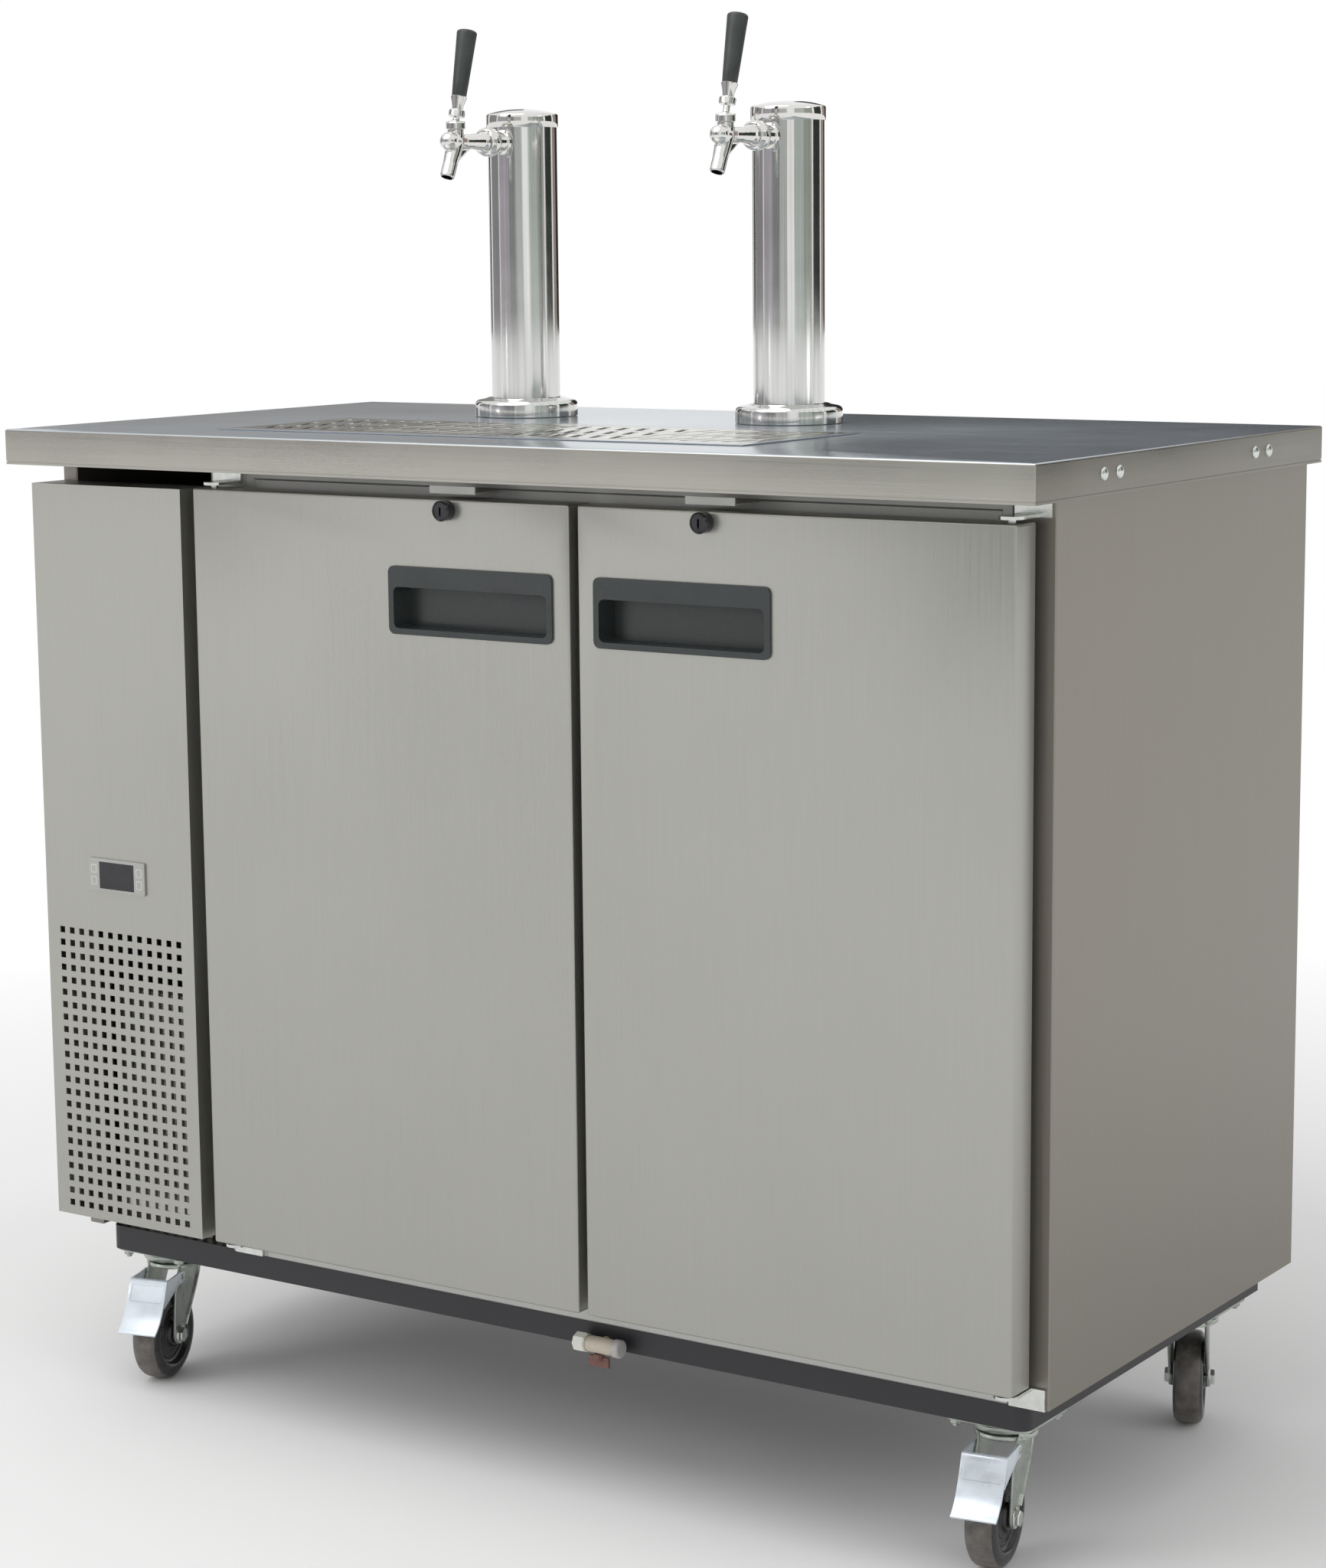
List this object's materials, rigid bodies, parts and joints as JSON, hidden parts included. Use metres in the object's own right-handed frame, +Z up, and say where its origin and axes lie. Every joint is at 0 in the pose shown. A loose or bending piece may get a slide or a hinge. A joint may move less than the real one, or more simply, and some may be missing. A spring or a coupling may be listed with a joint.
{
  "type": "kegerator",
  "caption": "Keg cooler cabinet in brushed steel on swivel casters, with chrome tap towers over a drip tray, lockable hinged doors and a vented machine compartment on its left.",
  "frame": {"origin": "on the floor, under the middle of the worktop", "axes": "+Z up, +X to the right seen from the front, the doors face -Y and the tap towers stand towards +Y"},
  "size_m": [1.246, 0.635, 1.4909],
  "materials": {
    "front_steel": "satin",
    "side_steel": "satin",
    "top_steel": "satin",
    "liner": "satin",
    "black_paint": "satin",
    "black_plastic": "satin",
    "chrome": "polished",
    "black_chrome": "polished",
    "zinc": "satin",
    "white_zinc": "satin",
    "wheel_rubber": "satin",
    "gasket_rubber": "matte",
    "grey_plastic": "satin",
    "display_glass": "gloss",
    "valve_plastic": "satin",
    "copper_brown": "satin",
    "fin_metal": "satin"
  },
  "bodies": {
    "cabinet": {"worktop": "top_steel", "left_side_panel": "side_steel", "right_side_panel": "side_steel", "rear_wall": "side_steel", "partition_wall": "liner", "cabinet_floor": "liner", "centre_post": "liner", "top_rail": "liner", "evaporator_cover": "liner", "base_plinth": "black_paint", "grille_panel": "front_steel", "controller_housing": "grey_plastic", "controller_display": "display_glass", "condenser_coil": "fin_metal", "fan_shroud": "black_paint", "compressor": "black_paint", "drip_tray": "top_steel", "drain_valve_body": "valve_plastic", "left_base_flange": "chrome", "left_column": "chrome", "left_column_cap": "chrome", "left_faucet_shank": "chrome", "left_faucet_body": "chrome", "right_base_flange": "chrome", "right_column": "chrome", "right_column_cap": "chrome", "right_faucet_shank": "chrome", "right_faucet_body": "chrome", "left_top_hinge": "zinc", "left_bottom_hinge": "zinc", "right_top_hinge": "zinc", "right_bottom_hinge": "zinc", "front_left_caster_plate": "zinc", "front_right_caster_plate": "zinc", "rear_left_caster_plate": "zinc", "rear_right_caster_plate": "zinc"},
    "left_door": {"left_door_panel": "front_steel", "left_door_gasket": "gasket_rubber", "left_handle_recess": "black_plastic"},
    "right_door": {"right_door_panel": "front_steel", "right_door_gasket": "gasket_rubber", "right_handle_recess": "black_plastic"},
    "left_lock": {"left_lock_barrel": "black_chrome"},
    "right_lock": {"right_lock_barrel": "black_chrome"},
    "left_tap_lever": {"left_tap_handle": "black_plastic"},
    "right_tap_lever": {"right_tap_handle": "black_plastic"},
    "fan": {"condenser_fan": "black_plastic"},
    "left_grate": {"drip_grate_left": "chrome"},
    "right_grate": {"drip_grate_right": "chrome"},
    "drain_lever": {"drain_valve_lever": "copper_brown"},
    "front_left_yoke": {"front_left_fork": "zinc"},
    "front_left_roller": {"front_left_wheel": "wheel_rubber"},
    "front_left_brake": {"front_left_brake_pedal": "white_zinc"},
    "front_right_yoke": {"front_right_fork": "zinc"},
    "front_right_roller": {"front_right_wheel": "wheel_rubber"},
    "front_right_brake": {"front_right_brake_pedal": "white_zinc"},
    "rear_left_yoke": {"rear_left_fork": "zinc"},
    "rear_left_roller": {"rear_left_wheel": "wheel_rubber"},
    "rear_right_yoke": {"rear_right_fork": "zinc"},
    "rear_right_roller": {"rear_right_wheel": "wheel_rubber"}
  },
  "joints": [
    {"name": "left_door_hinge", "type": "hinge", "parent": "cabinet", "child": "left_door", "pos_m": [-0.3619, -0.27655, 0.6], "axis": [0, 0, 1], "range_deg": [-110, 0]},
    {"name": "right_door_hinge", "type": "hinge", "parent": "cabinet", "child": "right_door", "pos_m": [0.5753, -0.27655, 0.6], "axis": [0, 0, 1], "range_deg": [0, 110]},
    {"name": "left_lock_turn", "type": "hinge", "parent": "left_door", "child": "left_lock", "pos_m": [-0.0454, -0.2953, 0.9986], "axis": [0, -1, 0], "range_deg": [0, 90]},
    {"name": "right_lock_turn", "type": "hinge", "parent": "right_door", "child": "right_lock", "pos_m": [0.2588, -0.2953, 0.9986], "axis": [0, -1, 0], "range_deg": [0, 90]},
    {"name": "left_tap_pull", "type": "hinge", "parent": "cabinet", "child": "left_tap_lever", "pos_m": [-0.254, 0.0093, 1.3849], "axis": [1, 0, 0], "range_deg": [0, 35]},
    {"name": "right_tap_pull", "type": "hinge", "parent": "cabinet", "child": "right_tap_lever", "pos_m": [0.091, 0.0093, 1.3849], "axis": [1, 0, 0], "range_deg": [0, 35]},
    {"name": "fan_spin", "type": "hinge", "parent": "cabinet", "child": "fan", "pos_m": [-0.4892, -0.1775, 0.2724], "axis": [0, 1, 0], "continuous": true},
    {"name": "left_grate_lift", "type": "slide", "parent": "cabinet", "child": "left_grate", "axis": [0, 0, 1], "range_m": [0, 0.05]},
    {"name": "right_grate_lift", "type": "slide", "parent": "cabinet", "child": "right_grate", "axis": [0, 0, 1], "range_m": [0, 0.05]},
    {"name": "drain_lever_turn", "type": "hinge", "parent": "cabinet", "child": "drain_lever", "pos_m": [0.098, -0.2548, 0.1438], "axis": [0, 0, 1], "range_deg": [0, 90]},
    {"name": "front_left_swivel", "type": "hinge", "parent": "cabinet", "child": "front_left_yoke", "pos_m": [-0.53, -0.19, 0.12], "axis": [0, 0, 1], "continuous": true},
    {"name": "front_left_roll", "type": "hinge", "parent": "front_left_yoke", "child": "front_left_roller", "pos_m": [-0.52226, -0.22105, 0.05], "axis": [0.9703, 0.2419, 0], "continuous": true},
    {"name": "front_left_brake_lift", "type": "hinge", "parent": "front_left_yoke", "child": "front_left_brake", "pos_m": [-0.52371, -0.21523, 0.1154], "axis": [0.9703, 0.2419, 0], "range_deg": [-12, 0]},
    {"name": "front_right_swivel", "type": "hinge", "parent": "cabinet", "child": "front_right_yoke", "pos_m": [0.53, -0.19, 0.12], "axis": [0, 0, 1], "continuous": true},
    {"name": "front_right_roll", "type": "hinge", "parent": "front_right_yoke", "child": "front_right_roller", "pos_m": [0.53501, -0.22161, 0.05], "axis": [0.9877, 0.1564, 0], "continuous": true},
    {"name": "front_right_brake_lift", "type": "hinge", "parent": "front_right_yoke", "child": "front_right_brake", "pos_m": [0.53407, -0.21568, 0.1154], "axis": [0.9877, 0.1564, 0], "range_deg": [-12, 0]},
    {"name": "rear_left_swivel", "type": "hinge", "parent": "cabinet", "child": "rear_left_yoke", "pos_m": [-0.53, 0.222, 0.12], "axis": [0, 0, 1], "continuous": true},
    {"name": "rear_left_roll", "type": "hinge", "parent": "rear_left_yoke", "child": "rear_left_roller", "pos_m": [-0.53445, 0.25369, 0.05], "axis": [-0.9903, -0.1392, 0], "continuous": true},
    {"name": "rear_right_swivel", "type": "hinge", "parent": "cabinet", "child": "rear_right_yoke", "pos_m": [0.53, 0.222, 0.12], "axis": [0, 0, 1], "continuous": true},
    {"name": "rear_right_roll", "type": "hinge", "parent": "rear_right_yoke", "child": "rear_right_roller", "pos_m": [0.51801, 0.25167, 0.05], "axis": [-0.9272, -0.3746, 0], "continuous": true}
  ]
}
